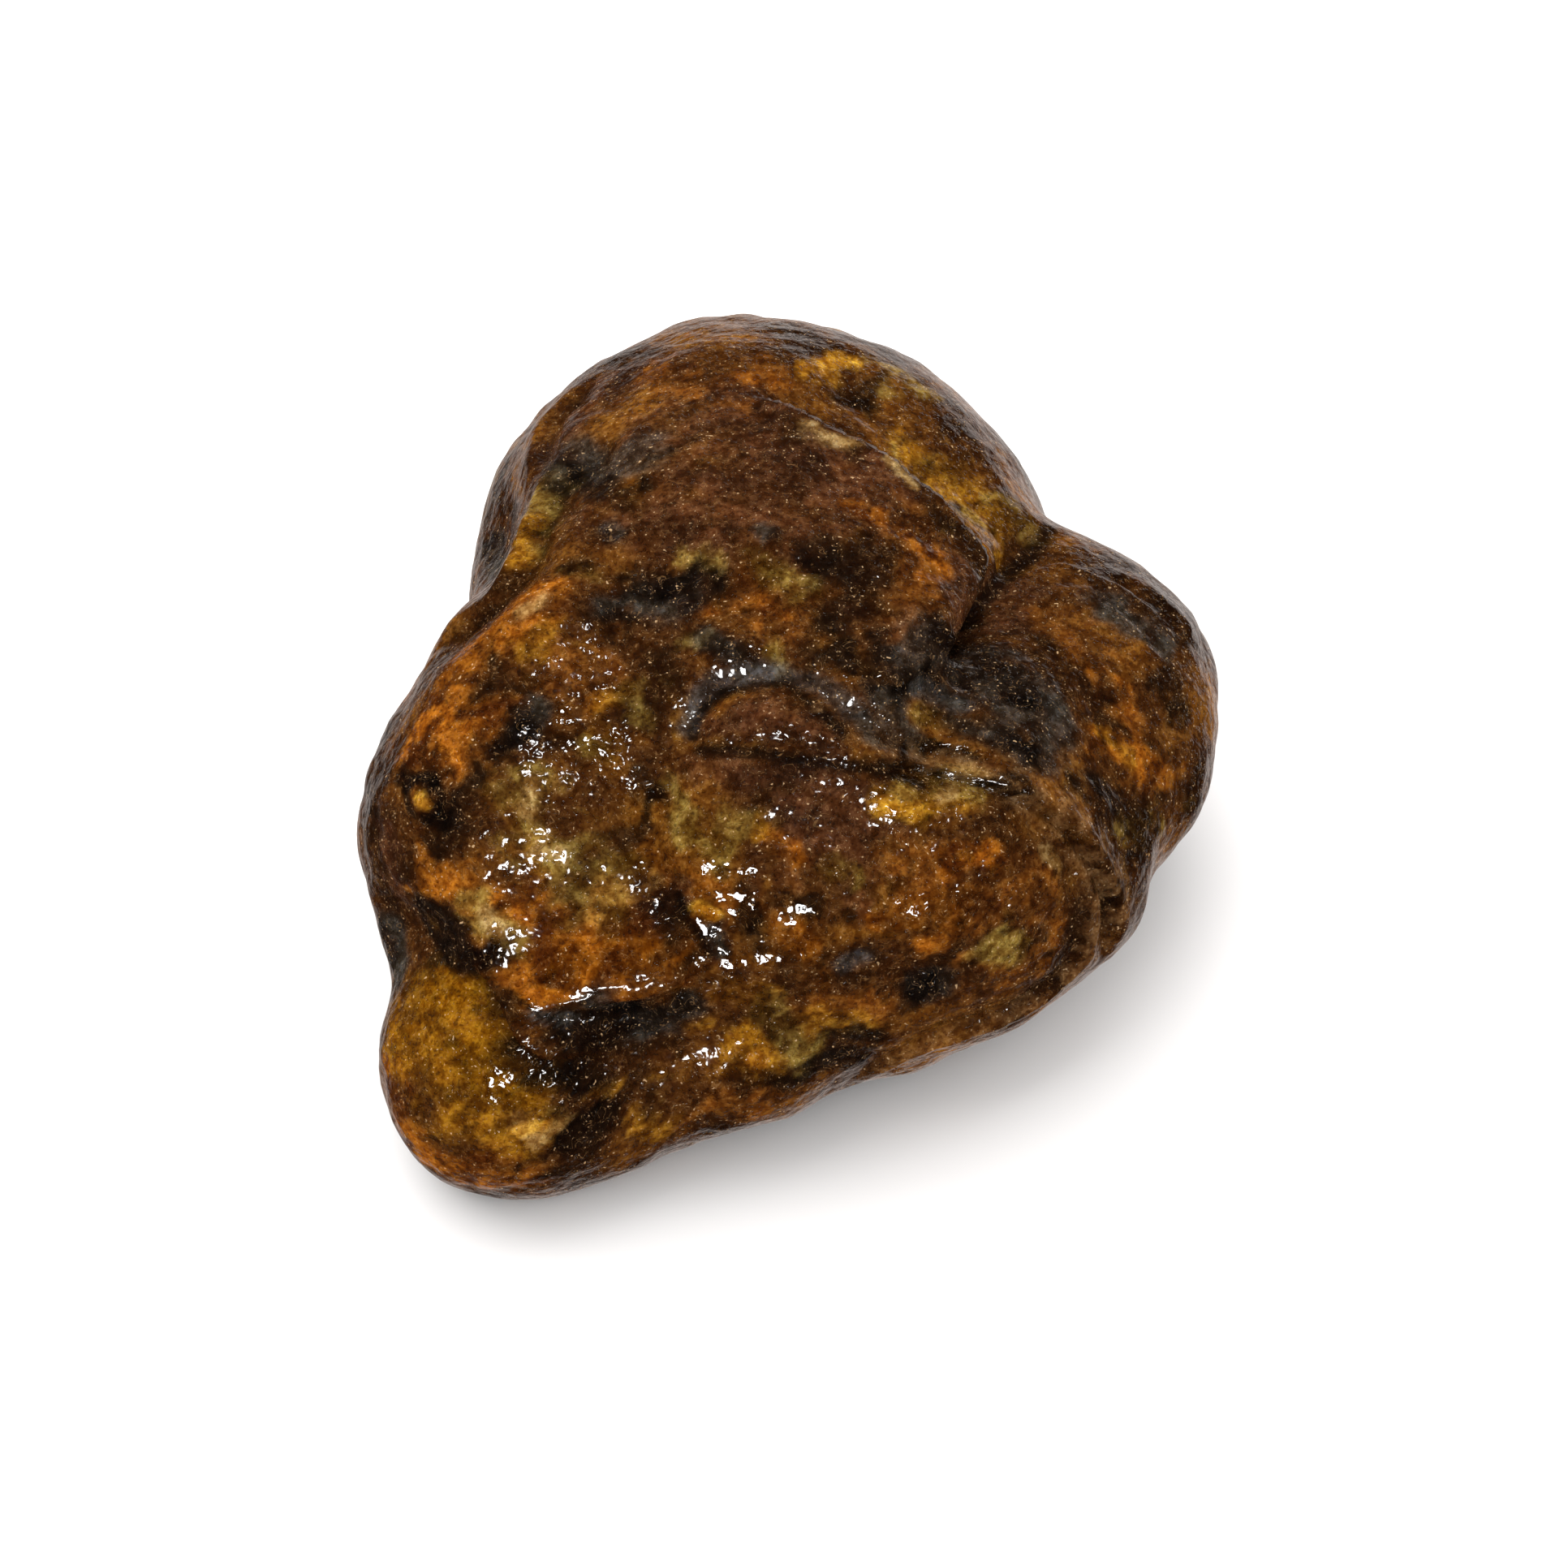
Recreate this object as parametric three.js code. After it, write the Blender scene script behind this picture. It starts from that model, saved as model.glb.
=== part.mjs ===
// A raw nodule of amber, just as it is dug: one solid lump of fossil resin, about 62 x 71 x 33 mm.
//
// Resin ran down and set in fat lobes that flowed into each other, so the lump is drawn the same way:
// each lobe is an ellipsoid, and the skin is the surface where their blended fields add up to one.
// Along the places where a late flow ran over an older one, a fold is pressed into that skin:
// a rounded lip on the upper flow, and a groove beside it. The underside is worn flat, and the lump
// rests on it. Millimetres, +Z up, origin under the middle of the lump on its resting face.

import * as THREE from 'three';
import { mergeVertices } from 'three/addons/utils/BufferGeometryUtils.js';

// ---- driving dimensions, mm ----

const HEART = new THREE.Vector3(0, -4, 15); // every point of the skin can be seen from here
const MERGE = 7; // how tightly two lobes run together: higher keeps a sharper valley between them
const FACET_ROWS = 18; // rows of facets along one edge of the starting icosahedron, less one
const SEARCH_FROM = 4; // the skin is never nearer to the heart than this
const SEARCH_TO = 60; // nor farther away
const SEARCH_STEPS = 24; // each step halves the gap between the two
const CURVE_STEP = 1; // spacing of the points along a fold
const FOLD_FADE = 4.5; // length over which a fold dies out at each of its ends
const SKIN_HUG = 0.85; // share of the height above the skin that is left out of distances to a fold

// A sphere's directions crowd the thin lump's edges, so the facets start from a flatter egg of its own
// proportions: half its width, length and height, and its middle.
const EGG_HALF = new THREE.Vector3(31, 35, 17);
const EGG_MIDDLE = new THREE.Vector3(-1.5, -1.5, 15.5);

// Each lobe: its middle, its half-lengths along x, y and z, and its turn about z in degrees.
const LOBES = [
  { at: [0, -5, 15.5], half: [21, 21, 16], turn: 0 }, // heart of the lump
  { at: [-2.5, 12.5, 15.5], half: [18.5, 22.5, 16], turn: 0 }, // back
  { at: [-10.5, 14.8, 12.5], half: [13.2, 16.2, 13], turn: 0 }, // left flank of the back
  { at: [7, 15.5, 14], half: [10.2, 12.2, 11.5], turn: 0 }, // right flank of the back
  { at: [-2.5, 5.5, 21.5], half: [16, 10, 10.5], turn: -30 }, // tongue that ran over the back
  { at: [18.8, 1.8, 12.5], half: [12, 14, 10.6], turn: 0 }, // right shoulder
  { at: [6.8, -16, 12], half: [17.2, 9.6, 12.4], turn: 16 }, // front bulge
  { at: [-8, -22, 9.5], half: [11.5, 9, 10], turn: 0 }, // apron under the bulge
  { at: [-19.5, -26.2, 8], half: [9.4, 9, 9.6], turn: 0 }, // toe
  { at: [-13, -26, 6.2], half: [7, 6, 7], turn: 0 }, // heel of the toe
  { at: [-18.6, -12, 14.5], half: [12, 13, 13], turn: 0 }, // left shoulder
  { at: [-16, -0.5, 19.5], half: [8.5, 16, 12], turn: -24 }, // ridge over the left flank
];

// Each fold: a few points that its edge passes through, with the upper flow on the left of the way
// along them, seen from outside; then the lip's height and reach, the groove's depth and reach, and
// half the width of the step between the two.
const FOLDS = {
  tongueEdge: {
    path: [
      [10.5, -7.5, 29.5], [12.5, -3.5, 29], [14, 0.5, 28], [13, 3.5, 28], [10.5, 5, 29.5],
      [7.5, 7, 31], [4.5, 10, 31.5], [0.5, 12.5, 32], [-4, 16, 31.5],
    ],
    lip: 0.6, lipReach: 4.5, groove: 1.8, grooveReach: 4.2, step: 1.8,
  },
  saddle: {
    path: [
      [-7.5, -13, 29.5], [-5.5, -11, 30.5], [-2.5, -11, 31], [0, -12, 31],
      [3, -12.5, 30.5], [6, -11.5, 30], [9, -9.5, 30], [11.5, -7, 29.5],
    ],
    lip: 0.3, lipReach: 3, groove: 0.9, grooveReach: 2.8, step: 1.6,
  },
  longRim: {
    path: [
      [3.5, -16.5, 29], [7.5, -16.5, 28], [11, -16.5, 27], [14, -16, 25.5], [17, -16, 23.5],
      [19.5, -16.5, 21], [21.5, -17.5, 17.5], [22, -18.5, 13], [21, -18.5, 9],
    ],
    lip: 0.6, lipReach: 3.2, groove: 1.5, grooveReach: 2.8, step: 1.6,
  },
  lowerRim: {
    path: [
      [11.5, -17, 26.5], [15, -17, 24.5], [17.5, -17.5, 22], [19.5, -18.5, 18.5], [20, -19.5, 15],
      [19.5, -21, 12], [17, -22.5, 11], [12, -25, 10.5], [8.5, -26, 9.5], [6, -26.5, 8], [3, -26.5, 5],
    ],
    lip: 0.4, lipReach: 2.8, groove: 0.5, grooveReach: 2.4, step: 1.6,
  },
  ridgeEdge: {
    path: [
      [-25.5, -2, 23], [-22.5, -1.5, 28], [-21, 0, 29.5], [-19.5, 2, 30],
      [-19, 5, 29.5], [-17.5, 9.5, 28.5], [-15, 12.5, 29.5], [-12, 14, 30.5],
    ],
    lip: 0.6, lipReach: 4, groove: 2, grooveReach: 4.2, step: 1.8,
  },
  toeCrease: {
    path: [
      [-25.5, -21.5, 16.5], [-23, -25, 18], [-21, -26.5, 18], [-19, -28, 18],
      [-17.5, -29.5, 17], [-15, -31, 15.5], [-12, -31.5, 13],
    ],
    lip: 0.4, lipReach: 3, groove: 1.4, grooveReach: 2.8, step: 1.6,
  },
  leftValley: {
    path: [
      [-7, -25.5, 20.5], [-8, -24, 21.5], [-10, -22.5, 22.5], [-11.5, -20.5, 24],
      [-11, -18.5, 26], [-10, -16, 27.5], [-9, -13.5, 29],
    ],
    lip: 0.3, lipReach: 3.2, groove: 1, grooveReach: 3.2, step: 1.8,
  },
};

// ---- the blended lobes ----

const lobes = LOBES.map(({ at, half, turn }) => ({
  centre: new THREE.Vector3(...at),
  half: new THREE.Vector3(...half),
  unturn: new THREE.Matrix4().makeRotationZ(THREE.MathUtils.degToRad(-turn)),
}));

// Sum over the lobes of exp(MERGE * (1 - q)), where q is 0 in a lobe's middle and 1 on its own skin.
function resinAt(point) {
  let sum = 0;
  for (const { centre, half, unturn } of lobes) {
    const local = point.clone().sub(centre).applyMatrix4(unturn).divide(half);
    sum += Math.exp(MERGE * (1 - local.length()));
  }
  return sum;
}

// Distance from the heart to the skin along a direction, found by halving the gap.
function skinDistance(direction) {
  let near = SEARCH_FROM;
  let far = SEARCH_TO;
  for (let step = 0; step < SEARCH_STEPS; step += 1) {
    const middle = (near + far) / 2;
    const inside = resinAt(HEART.clone().addScaledVector(direction, middle)) > 1;
    if (inside) near = middle;
    else far = middle;
  }
  return (near + far) / 2;
}

// ---- the folds ----

const folds = Object.values(FOLDS).map((fold) => {
  const points = fold.path.map((point) => new THREE.Vector3(...point));
  const curve = new THREE.CatmullRomCurve3(points, false, 'catmullrom');
  const line = curve.getSpacedPoints(Math.ceil(curve.getLength() / CURVE_STEP));
  return { ...fold, line, length: curve.getLength() };
});

// How far a point of the skin is from a fold's line, positive on the left, and how far along it.
function beside(point, outward, { line, length }) {
  let nearest = { distance: Infinity, along: 0 };
  const run = length / (line.length - 1);
  for (let k = 0; k < line.length - 1; k += 1) {
    const piece = line[k + 1].clone().sub(line[k]);
    const share = point.clone().sub(line[k]).dot(piece) / piece.lengthSq();
    const t = THREE.MathUtils.clamp(share, 0, 1);
    const gap = point.clone().sub(line[k]).addScaledVector(piece, -t);
    gap.addScaledVector(outward, -SKIN_HUG * gap.dot(outward));
    const distance = gap.length();
    if (distance < Math.abs(nearest.distance)) {
      const leftward = outward.clone().cross(piece);
      nearest = { distance: gap.dot(leftward) < 0 ? -distance : distance, along: (k + t) * run };
    }
  }
  return nearest;
}

// Height of a fold's lip, or minus its groove's depth, each a bell curve across the line.
function foldHeight(point, outward, fold) {
  const { distance, along } = beside(point, outward, fold);
  const onLip = THREE.MathUtils.smoothstep(distance, -fold.step, fold.step);
  const lip = fold.lip * Math.exp(-((distance / fold.lipReach) ** 2));
  const groove = fold.groove * Math.exp(-((distance / fold.grooveReach) ** 2));
  const fromStart = THREE.MathUtils.smoothstep(along, 0, FOLD_FADE);
  const fromEnd = THREE.MathUtils.smoothstep(fold.length - along, 0, FOLD_FADE);
  return (onLip * lip - (1 - onLip) * groove) * fromStart * fromEnd;
}

// ---- the lump ----

// An icosahedron's fine facets, each corner moved out to the skin and pressed by the folds, and
// whatever would hang below the resting plane laid flat on it.
function nodule() {
  const geometry = new THREE.IcosahedronGeometry(1, FACET_ROWS);
  geometry.deleteAttribute('normal');
  geometry.deleteAttribute('uv');
  const shell = mergeVertices(geometry, 1e-5);
  const corners = shell.getAttribute('position');
  for (let i = 0; i < corners.count; i += 1) {
    const onEgg = new THREE.Vector3().fromBufferAttribute(corners, i).multiply(EGG_HALF).add(EGG_MIDDLE);
    const outward = onEgg.sub(HEART).normalize();
    const skin = HEART.clone().addScaledVector(outward, skinDistance(outward));
    const height = folds.reduce((sum, fold) => sum + foldHeight(skin, outward, fold), 0);
    skin.addScaledVector(outward, height);
    corners.setXYZ(i, skin.x, skin.y, Math.max(skin.z, 0));
  }
  shell.computeVertexNormals();
  return shell;
}

const amber = new THREE.MeshStandardMaterial({ color: 0x5a3c22, roughness: 0.25, metalness: 0 });

const lump = new THREE.Mesh(nodule(), amber);
lump.name = 'amber_nodule';

const rawAmber = new THREE.Group();
rawAmber.add(lump);

export default rawAmber;
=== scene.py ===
import bpy
import numpy as np
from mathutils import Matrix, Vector


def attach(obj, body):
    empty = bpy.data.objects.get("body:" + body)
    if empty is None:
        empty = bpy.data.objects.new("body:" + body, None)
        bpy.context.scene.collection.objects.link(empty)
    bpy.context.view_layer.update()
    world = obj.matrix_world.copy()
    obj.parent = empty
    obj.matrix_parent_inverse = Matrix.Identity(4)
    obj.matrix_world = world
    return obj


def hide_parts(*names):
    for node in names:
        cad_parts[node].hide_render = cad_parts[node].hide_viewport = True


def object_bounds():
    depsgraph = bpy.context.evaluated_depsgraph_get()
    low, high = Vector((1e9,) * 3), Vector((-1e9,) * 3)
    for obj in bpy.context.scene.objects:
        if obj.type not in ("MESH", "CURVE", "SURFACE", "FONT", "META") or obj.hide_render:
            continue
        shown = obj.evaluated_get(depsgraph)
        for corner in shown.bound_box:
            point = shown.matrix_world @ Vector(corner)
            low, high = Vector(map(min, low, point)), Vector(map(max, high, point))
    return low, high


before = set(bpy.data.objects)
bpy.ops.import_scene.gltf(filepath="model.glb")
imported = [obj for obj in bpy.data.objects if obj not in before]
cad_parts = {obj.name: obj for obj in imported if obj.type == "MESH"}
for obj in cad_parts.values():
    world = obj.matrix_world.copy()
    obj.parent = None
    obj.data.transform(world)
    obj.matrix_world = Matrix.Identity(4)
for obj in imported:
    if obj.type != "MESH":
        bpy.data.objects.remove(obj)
cad_box = [list(corner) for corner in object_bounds()]

# ---------------------------------------------------------------------------------------------
# The nodule's body. Resin ran down in thick flows that set into one lump of fossil amber, and
# the sea rolled it smooth: fat lobes with valleys between them, and a worn flat underside.
# ---------------------------------------------------------------------------------------------

MM = 0.001
HEART = np.array([0.0, -4.0, 15.0])  # the point, in mm, from which the whole skin can be seen
MERGE = 7.0  # how tightly two lobes run together

LOBES_MM = {  # middle, half-lengths along x, y and z, and turn about z in degrees
    "heart": ((0, -5, 15.5), (21, 21, 16), 0),
    "back": ((-2.5, 12.5, 15.5), (18.5, 22.5, 16), 0),
    "back_left_flank": ((-10.5, 14.8, 12.5), (13.2, 16.2, 13), 0),
    "back_right_flank": ((7, 15.5, 14), (10.2, 12.2, 11.5), 0),
    "tongue": ((-2.5, 5.5, 21.5), (16, 10, 10.5), -30),
    "right_shoulder": ((18.8, 1.8, 12.5), (12, 14, 10.6), 0),
    "front_bulge": ((6.8, -16, 12), (17.2, 9.6, 12.4), 16),
    "apron": ((-8, -22, 9.5), (11.5, 9, 10), 0),
    "toe": ((-19.5, -26.2, 8), (9.4, 9, 9.6), 0),
    "heel": ((-13, -26, 6.2), (7, 6, 7), 0),
    "left_shoulder": ((-18.6, -12, 14.5), (12, 13, 13), 0),
    "left_ridge": ((-16, -0.5, 19.5), (8.5, 16, 12), -24),
}


def flow_sum(places):
    """The resin's fullness at each place: the sum over the lobes of exp(MERGE (1 - q)), where q is
    the place's distance from the lobe's middle, counted in the lobe's own half-lengths."""
    total = np.zeros(len(places))
    for middle, half, turn in LOBES_MM.values():
        c, s = np.cos(np.radians(turn)), np.sin(np.radians(turn))
        x, y, z = (places - np.array(middle)).T
        local = np.stack([c * x + s * y, c * y - s * x, z], 1) / np.array(half)
        total += np.exp(MERGE * (1 - np.linalg.norm(local, axis=1)))
    return total


def skin_distance(outward):
    """Distance from the heart to the skin, where the fullness is one, by halving the gap between a
    near and a far distance until it is closed."""
    near, far = np.full(len(outward), 4.0), np.full(len(outward), 60.0)
    for _ in range(22):
        half_way = (near + far) / 2
        inside = flow_sum(HEART + outward * half_way[:, None]) > 1
        near = np.where(inside, half_way, near)
        far = np.where(inside, far, half_way)
    return (near + far) / 2


def places_on_skin(bearings_and_lifts):
    """Places on the skin, in mm. Each is given by its bearing from the heart, in degrees
    anticlockwise from +x seen from above, and its lift above the horizontal."""
    bearing, lift = np.radians(np.array(bearings_and_lifts, float)).T
    outward = np.stack([np.cos(lift) * np.cos(bearing), np.cos(lift) * np.sin(bearing), np.sin(lift)], 1)
    return HEART + outward * skin_distance(outward)[:, None]


def cube_net(rows):
    """Directions to the points of a cube's six faces, each a grid of two parameters spaced by the
    tangent so that the squares stay even, with the points on shared edges made one."""
    t = np.tan(np.linspace(-np.pi / 4, np.pi / 4, rows + 1))
    a, b = np.meshgrid(t, t, indexing="ij")
    one = np.ones_like(a)
    sides = [(one, a, b), (-one, -a, b), (-a, one, b), (a, -one, b), (a, b, one), (a, -b, -one)]
    points = np.concatenate([np.stack(side, -1).reshape(-1, 3) for side in sides])
    index = np.arange((rows + 1) ** 2).reshape(rows + 1, rows + 1)
    square = np.stack([index[:-1, :-1], index[1:, :-1], index[1:, 1:], index[:-1, 1:]], -1).reshape(-1, 4)
    squares = np.concatenate([square + k * (rows + 1) ** 2 for k in range(6)])
    _, first, shared = np.unique(np.round(points * 1e6), axis=0, return_index=True, return_inverse=True)
    points, squares = points[first], shared.reshape(-1)[squares]
    corner = points[squares]
    facing = np.cross(corner[:, 1] - corner[:, 0], corner[:, 3] - corner[:, 0])
    inward = (facing * corner.mean(1)).sum(1) < 0
    squares[inward] = squares[inward][:, ::-1]
    return points / np.linalg.norm(points, axis=1, keepdims=True), squares


# The net is first laid on an egg of the lump's own proportions, so that its squares stay about
# 0.35 mm wide all over.
EGG_HALF_MM = np.array([31.0, 35.0, 17.0])
EGG_MIDDLE_MM = np.array([-1.5, -1.5, 15.5])
NET_ROWS = 128

net, squares = cube_net(NET_ROWS)
outward = EGG_MIDDLE_MM + net * EGG_HALF_MM - HEART
outward /= np.linalg.norm(outward, axis=1, keepdims=True)
skin = HEART + outward * skin_distance(outward)[:, None]

# ---------------------------------------------------------------------------------------------
# The folds. Where a late flow ran over an older one it left a rounded lip, with a groove beside it
# that never closed. Each is a route over the skin, with the upper flow on the left of the way.
# ---------------------------------------------------------------------------------------------

FOLDS = {  # lip height and reach, groove depth and reach, half the step between them, in mm; route
    "tongue_edge": (0.8, 2.2, 2.0, 2.6, 0.45, [
        (-18, 53), (2, 47), (19, 41), (29, 38), (41, 42), (55, 45), (72, 45), (87, 44), (101, 39)]),
    "saddle": (0.2, 3.0, 0.5, 2.4, 1.2, [
        (-110, 66), (-90, 63), (-70, 60), (-51, 59), (-34, 56), (-14, 50)]),
    "plate_foot": (0.15, 1.4, 0.40, 0.6, 0.30, [
        (-66, 46), (-74, 47), (-85, 50), (-98, 51), (-110, 49), (-118, 48), (-129, 50)]),
    "plate_side": (0.25, 1.0, 0.4, 0.6, 0.3, [(-99, 66), (-90, 63), (-80, 58), (-72, 52), (-68, 47)]),
    "long_rim": (0.5, 2.0, 0.9, 1.1, 0.4, [
        (-74, 48), (-69, 47), (-59, 43), (-45, 34), (-38, 26), (-34, 17), (-33, 8), (-32, 1),
        (-33, -5), (-35, -13)]),
    "lower_rim": (0.45, 2.0, 0.4, 1.5, 0.8, [
        (-48, 33), (-41, 26), (-37, 17), (-36, 8), (-38, 0), (-41, -7), (-47, -10), (-60, -11),
        (-69, -13), (-75, -17), (-82, -24)]),
    "ridge_edge": (0.5, 3.0, 1.1, 3.2, 1.1, [
        (175, 17), (174, 30), (170, 34), (163, 36), (154, 34), (142, 31), (132, 33), (123, 36)]),
    "toe_crease": (0.5, 1.6, 1.0, 1.0, 0.35, [
        (-139, 7), (-134, 6), (-128, 4), (-122, 1), (-118, -1), (-114, -5)]),
    "flank": (0.6, 2.8, 0.4, 2.2, 0.8, [
        (-132, 6), (-128, 6), (-123, 5), (-117, 5), (-109, 8), (-102, 11)]),
    "left_valley": (0.2, 2.4, 0.4, 2.0, 1.2, [
        (-108, 14), (-112, 17), (-119, 20), (-125, 26), (-127, 33), (-130, 42), (-137, 48)]),
    "shoulder_top": (0.4, 1.6, 0.5, 1.6, 0.5, [
        (16, 10), (19, 14), (25, 18), (31, 21), (31, 27), (29, 33)]),
    "back_rib": (0.5, 2.4, 0.7, 2.0, 0.7, [(141, 28), (135, 23), (129, 20), (122, 19), (116, 20)]),
    "upper_crack": (0.2, 1.0, 0.4, 0.8, 0.4, [(-61, 53), (-50, 45), (-42, 39), (-35, 36)]),
}
HOLLOWS = {  # depth (less than nothing for a swelling) and reach, in mm; route
    "gold_valley": (1.6, 2.8, [(80, 34), (73, 34), (63, 33), (53, 30), (44, 27), (36, 25)]),
    "notch": (1.4, 1.3, [(39, 19), (34, 24), (28, 30), (1, 49)]),
    "right_valley": (1.7, 3.0, [(18, 34), (-7, 43), (-33, 47), (-43, 44)]),
    "moat": (0.9, 1.3, [
        (-126, 48), (-129, 56), (-124, 63), (-99, 67), (-77, 62), (-65, 54), (-56, 45), (-42, 35)]),
    "shoulder_valley": (0.9, 2.4, [(-130, 38), (-123, 28), (-114, 18), (-106, 13)]),
    "ridge_pocket": (1.2, 3.2, [(144, 13), (170, 31)]),
    "lower_front": (2.2, 3.6, [(-114, -1), (-108, -3), (-102, -1)]),
    "toe_neck": (1.0, 3.0, [(-147, 3), (-139, 4), (-132, 5)]),
    "whorl": (0.5, 0.9, [(-18, 46), (-18, 44)]),
    "front_dip": (0.7, 1.8, [(-71, 5), (-65, 4)]),
    "window_gap": (0.4, 1.3, [(-75, 37), (-68, 32), (-55, 29)]),
    "plate": (-0.5, 2.0, [(-119, 53), (-99, 58), (-76, 52)]),
    "window": (-0.5, 1.5, [(-65, 37), (-50, 32)]),
    "flank_roll": (-1.6, 3.6, [(-134, 9), (-128, 9), (-122, 9), (-115, 10)]),
    "bead": (-0.3, 0.9, [(-154, 19), (-153, 19)]),
    "brow": (-0.5, 2.2, [(-93, 19), (-78, 21), (-61, 15)]),
    "wrinkle": (-0.4, 0.8, [(32, 26), (29, 20), (23, 13), (16, 9)]),
    "wrinkle_gap": (0.4, 0.8, [(26, 30), (24, 21), (17, 17), (11, 13)]),
    "rib": (-0.5, 1.2, [(137, 32), (145, 32), (156, 35)]),
}
FOLD_FADE_MM = 4.5  # length over which a fold dies out at each end
SKIN_HUG = 0.85  # share of the height above the skin that is left out of distances to a fold
ROUTE_REACH_MM = 9  # how far from a route the skin still feels it
FAR_OFF_MM = 99.0  # the distance given to skin beyond that
GROOVE_SHADE_WIDTH_MM = 0.9  # how far the painted groove shade reaches to either side of a groove
WRINKLED_RIMS = ("long_rim", "lower_rim", "plate_side")
WRINKLE_HEIGHT_MM = 0.05
WRINKLE_SPACING_MM = 0.95
WRINKLE_REACH_MM = 2.4
RIM_SHEEN_OFF_MM = 0.8  # how far onto its lip the painted rim sheen is brightest
RIM_SHEEN_WIDTH_MM = 1.1


def eased(low, high, value):
    """0 below low, 1 above high, and a smooth S between them: 3 t squared less 2 t cubed."""
    t = np.clip((value - low) / (high - low), 0, 1)
    return t * t * (3 - 2 * t)


def smooth_route(points, spacing=1.0):
    """A Catmull-Rom curve through the points, as points about one spacing apart."""
    p = np.concatenate([[2 * points[0] - points[1]], points, [2 * points[-1] - points[-2]]])
    stretches = []
    for a, b, c, d in zip(p[:-3], p[1:-2], p[2:-1], p[3:]):
        count = max(2, int(np.ceil(np.linalg.norm(c - b) / spacing)))
        t = (np.arange(count) / count)[:, None]
        stretches.append(0.5 * (2 * b + (c - a) * t + (2 * a - 5 * b + 4 * c - d) * t ** 2
                                + (3 * b - a - 3 * c + d) * t ** 3))
    return np.concatenate(stretches + [points[-1:]])


def beside(route):
    """For every point of the skin, its distance from the route, positive on the route's left, and
    how far along the route it lies. Height above the skin hardly counts."""
    steps = route[1:] - route[:-1]
    lengths = np.linalg.norm(steps, axis=1)
    starts = np.concatenate([[0], np.cumsum(lengths)])
    distance, along = np.full(len(skin), FAR_OFF_MM), np.zeros(len(skin))
    reach = ((skin > route.min(0) - ROUTE_REACH_MM) & (skin < route.max(0) + ROUTE_REACH_MM)).all(1)
    place, up = skin[reach], outward[reach]
    near, near_along = np.full(len(place), FAR_OFF_MM), np.zeros(len(place))
    for k, (step, length) in enumerate(zip(steps, lengths)):
        t = np.clip((place - route[k]) @ step / length ** 2, 0, 1)
        gap = place - route[k] - t[:, None] * step
        gap -= SKIN_HUG * (gap * up).sum(1)[:, None] * up
        side = np.sign((gap * np.cross(up, step)).sum(1) + 1e-9)
        far = np.linalg.norm(gap, axis=1)
        closer = far < np.abs(near)
        near = np.where(closer, side * far, near)
        near_along = np.where(closer, starts[k] + t * length, near_along)
    distance[reach], along[reach] = near, near_along
    return distance, along, starts[-1]


fold_height = np.zeros(len(skin))
groove_shade = np.zeros(len(skin))
rim_sheen_lines = np.zeros(len(skin))
for name, (lip, lip_reach, groove, groove_reach, step, route) in FOLDS.items():
    distance, along, length = beside(smooth_route(places_on_skin(route)))
    fade = eased(0, FOLD_FADE_MM, along) * eased(0, FOLD_FADE_MM, length - along)
    on_lip = eased(-step, step, distance)
    in_groove = (1 - on_lip) * np.exp(-(distance / groove_reach) ** 2) * fade
    fold_height += on_lip * lip * np.exp(-(distance / lip_reach) ** 2) * fade - groove * in_groove
    # Painted shade: each groove is later darkened in the rind's colour, where shadow would fall.
    crease_shade = np.exp(-((distance + step) / GROOVE_SHADE_WIDTH_MM) ** 2) * fade * min(1, groove)
    groove_shade = np.maximum(groove_shade, crease_shade)
    if name in WRINKLED_RIMS:
        # Painted sheen: pale lines along the lips of the wrinkled rims stand for the light they catch.
        rim_sheen = np.exp(-((distance - RIM_SHEEN_OFF_MM) / RIM_SHEEN_WIDTH_MM) ** 2) * fade
        rim_sheen_lines = np.maximum(rim_sheen_lines, rim_sheen)
        wave = np.cos(distance * 2 * np.pi / WRINKLE_SPACING_MM)
        fold_height += WRINKLE_HEIGHT_MM * wave * np.exp(-(distance / WRINKLE_REACH_MM) ** 2) * fade
for depth, reach, route in HOLLOWS.values():
    distance = beside(smooth_route(places_on_skin(route)))[0]
    fold_height -= depth * np.exp(-(distance / reach) ** 2)

# ---------------------------------------------------------------------------------------------
# The rind's relief. Weather left the skin swelling and dipping all over, with soft swells up to
# 8 mm across, small bumps, and close-set round pits where grains of sand once pressed in.
# ---------------------------------------------------------------------------------------------


def scrambled(numbers):
    """Whole numbers turned into even chances from 0 to 1, always the same for the same number."""
    n = numbers.astype(np.uint32)
    for _ in range(2):
        n = (n ^ (n >> 16)) * np.uint32(0x45D9F3B)
    return (n ^ (n >> 16)) / 4294967295.0


def corner_chance(cell, seed):
    """The chance, from 0 to 1, that belongs to a corner of the unit grid."""
    key = cell[:, 0] * 73856093 ^ cell[:, 1] * 19349663 ^ cell[:, 2] * 83492791 ^ seed * 26544357
    return scrambled(key & 0xFFFFFFFF)


def clouds(places, seed):
    """Smooth random swells from -1 to 1, about one unit across: the chances at the eight corners of
    each unit cell, blended with a fifth-power ease."""
    cell = np.floor(places).astype(np.int64)
    t = places - cell
    t = t ** 3 * (t * (t * 6 - 15) + 10)
    total = np.zeros(len(places))
    for corner in np.ndindex(2, 2, 2):
        share = np.prod(np.where(corner, t, 1 - t), axis=1)
        total += share * corner_chance(cell + np.array(corner), seed)
    return total * 2 - 1


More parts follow.
